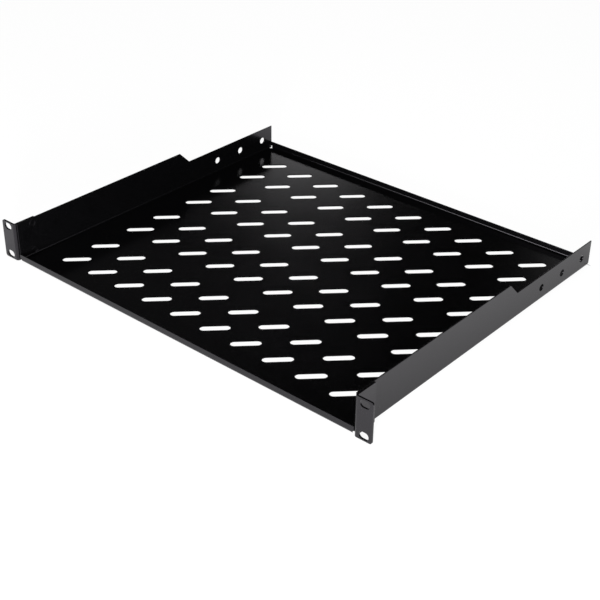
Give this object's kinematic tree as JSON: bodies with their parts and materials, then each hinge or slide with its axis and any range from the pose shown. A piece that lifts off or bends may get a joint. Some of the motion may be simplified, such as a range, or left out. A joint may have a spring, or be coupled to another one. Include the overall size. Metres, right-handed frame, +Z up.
{
  "type": "cantilever rack shelf",
  "caption": "One-unit cantilever shelf for a 19 inch rack: vented folded steel tray with stepped side walls and slotted front ears.",
  "frame": {"origin": "middle of the shelf's footprint, on the underside of the tray", "axes": "+X across the rack to the right as seen from the front, +Y to the rear of the rack, +Z up"},
  "size_m": [0.4826, 0.39, 0.0428],
  "materials": {
    "tray_coat": "fine satin black powder coat",
    "bracket_coat": "fine satin black powder coat"
  },
  "bodies": {
    "root": {"tray": "tray_coat", "left_ear_bracket": "bracket_coat", "right_ear_bracket": "bracket_coat"}
  },
  "joints": []
}
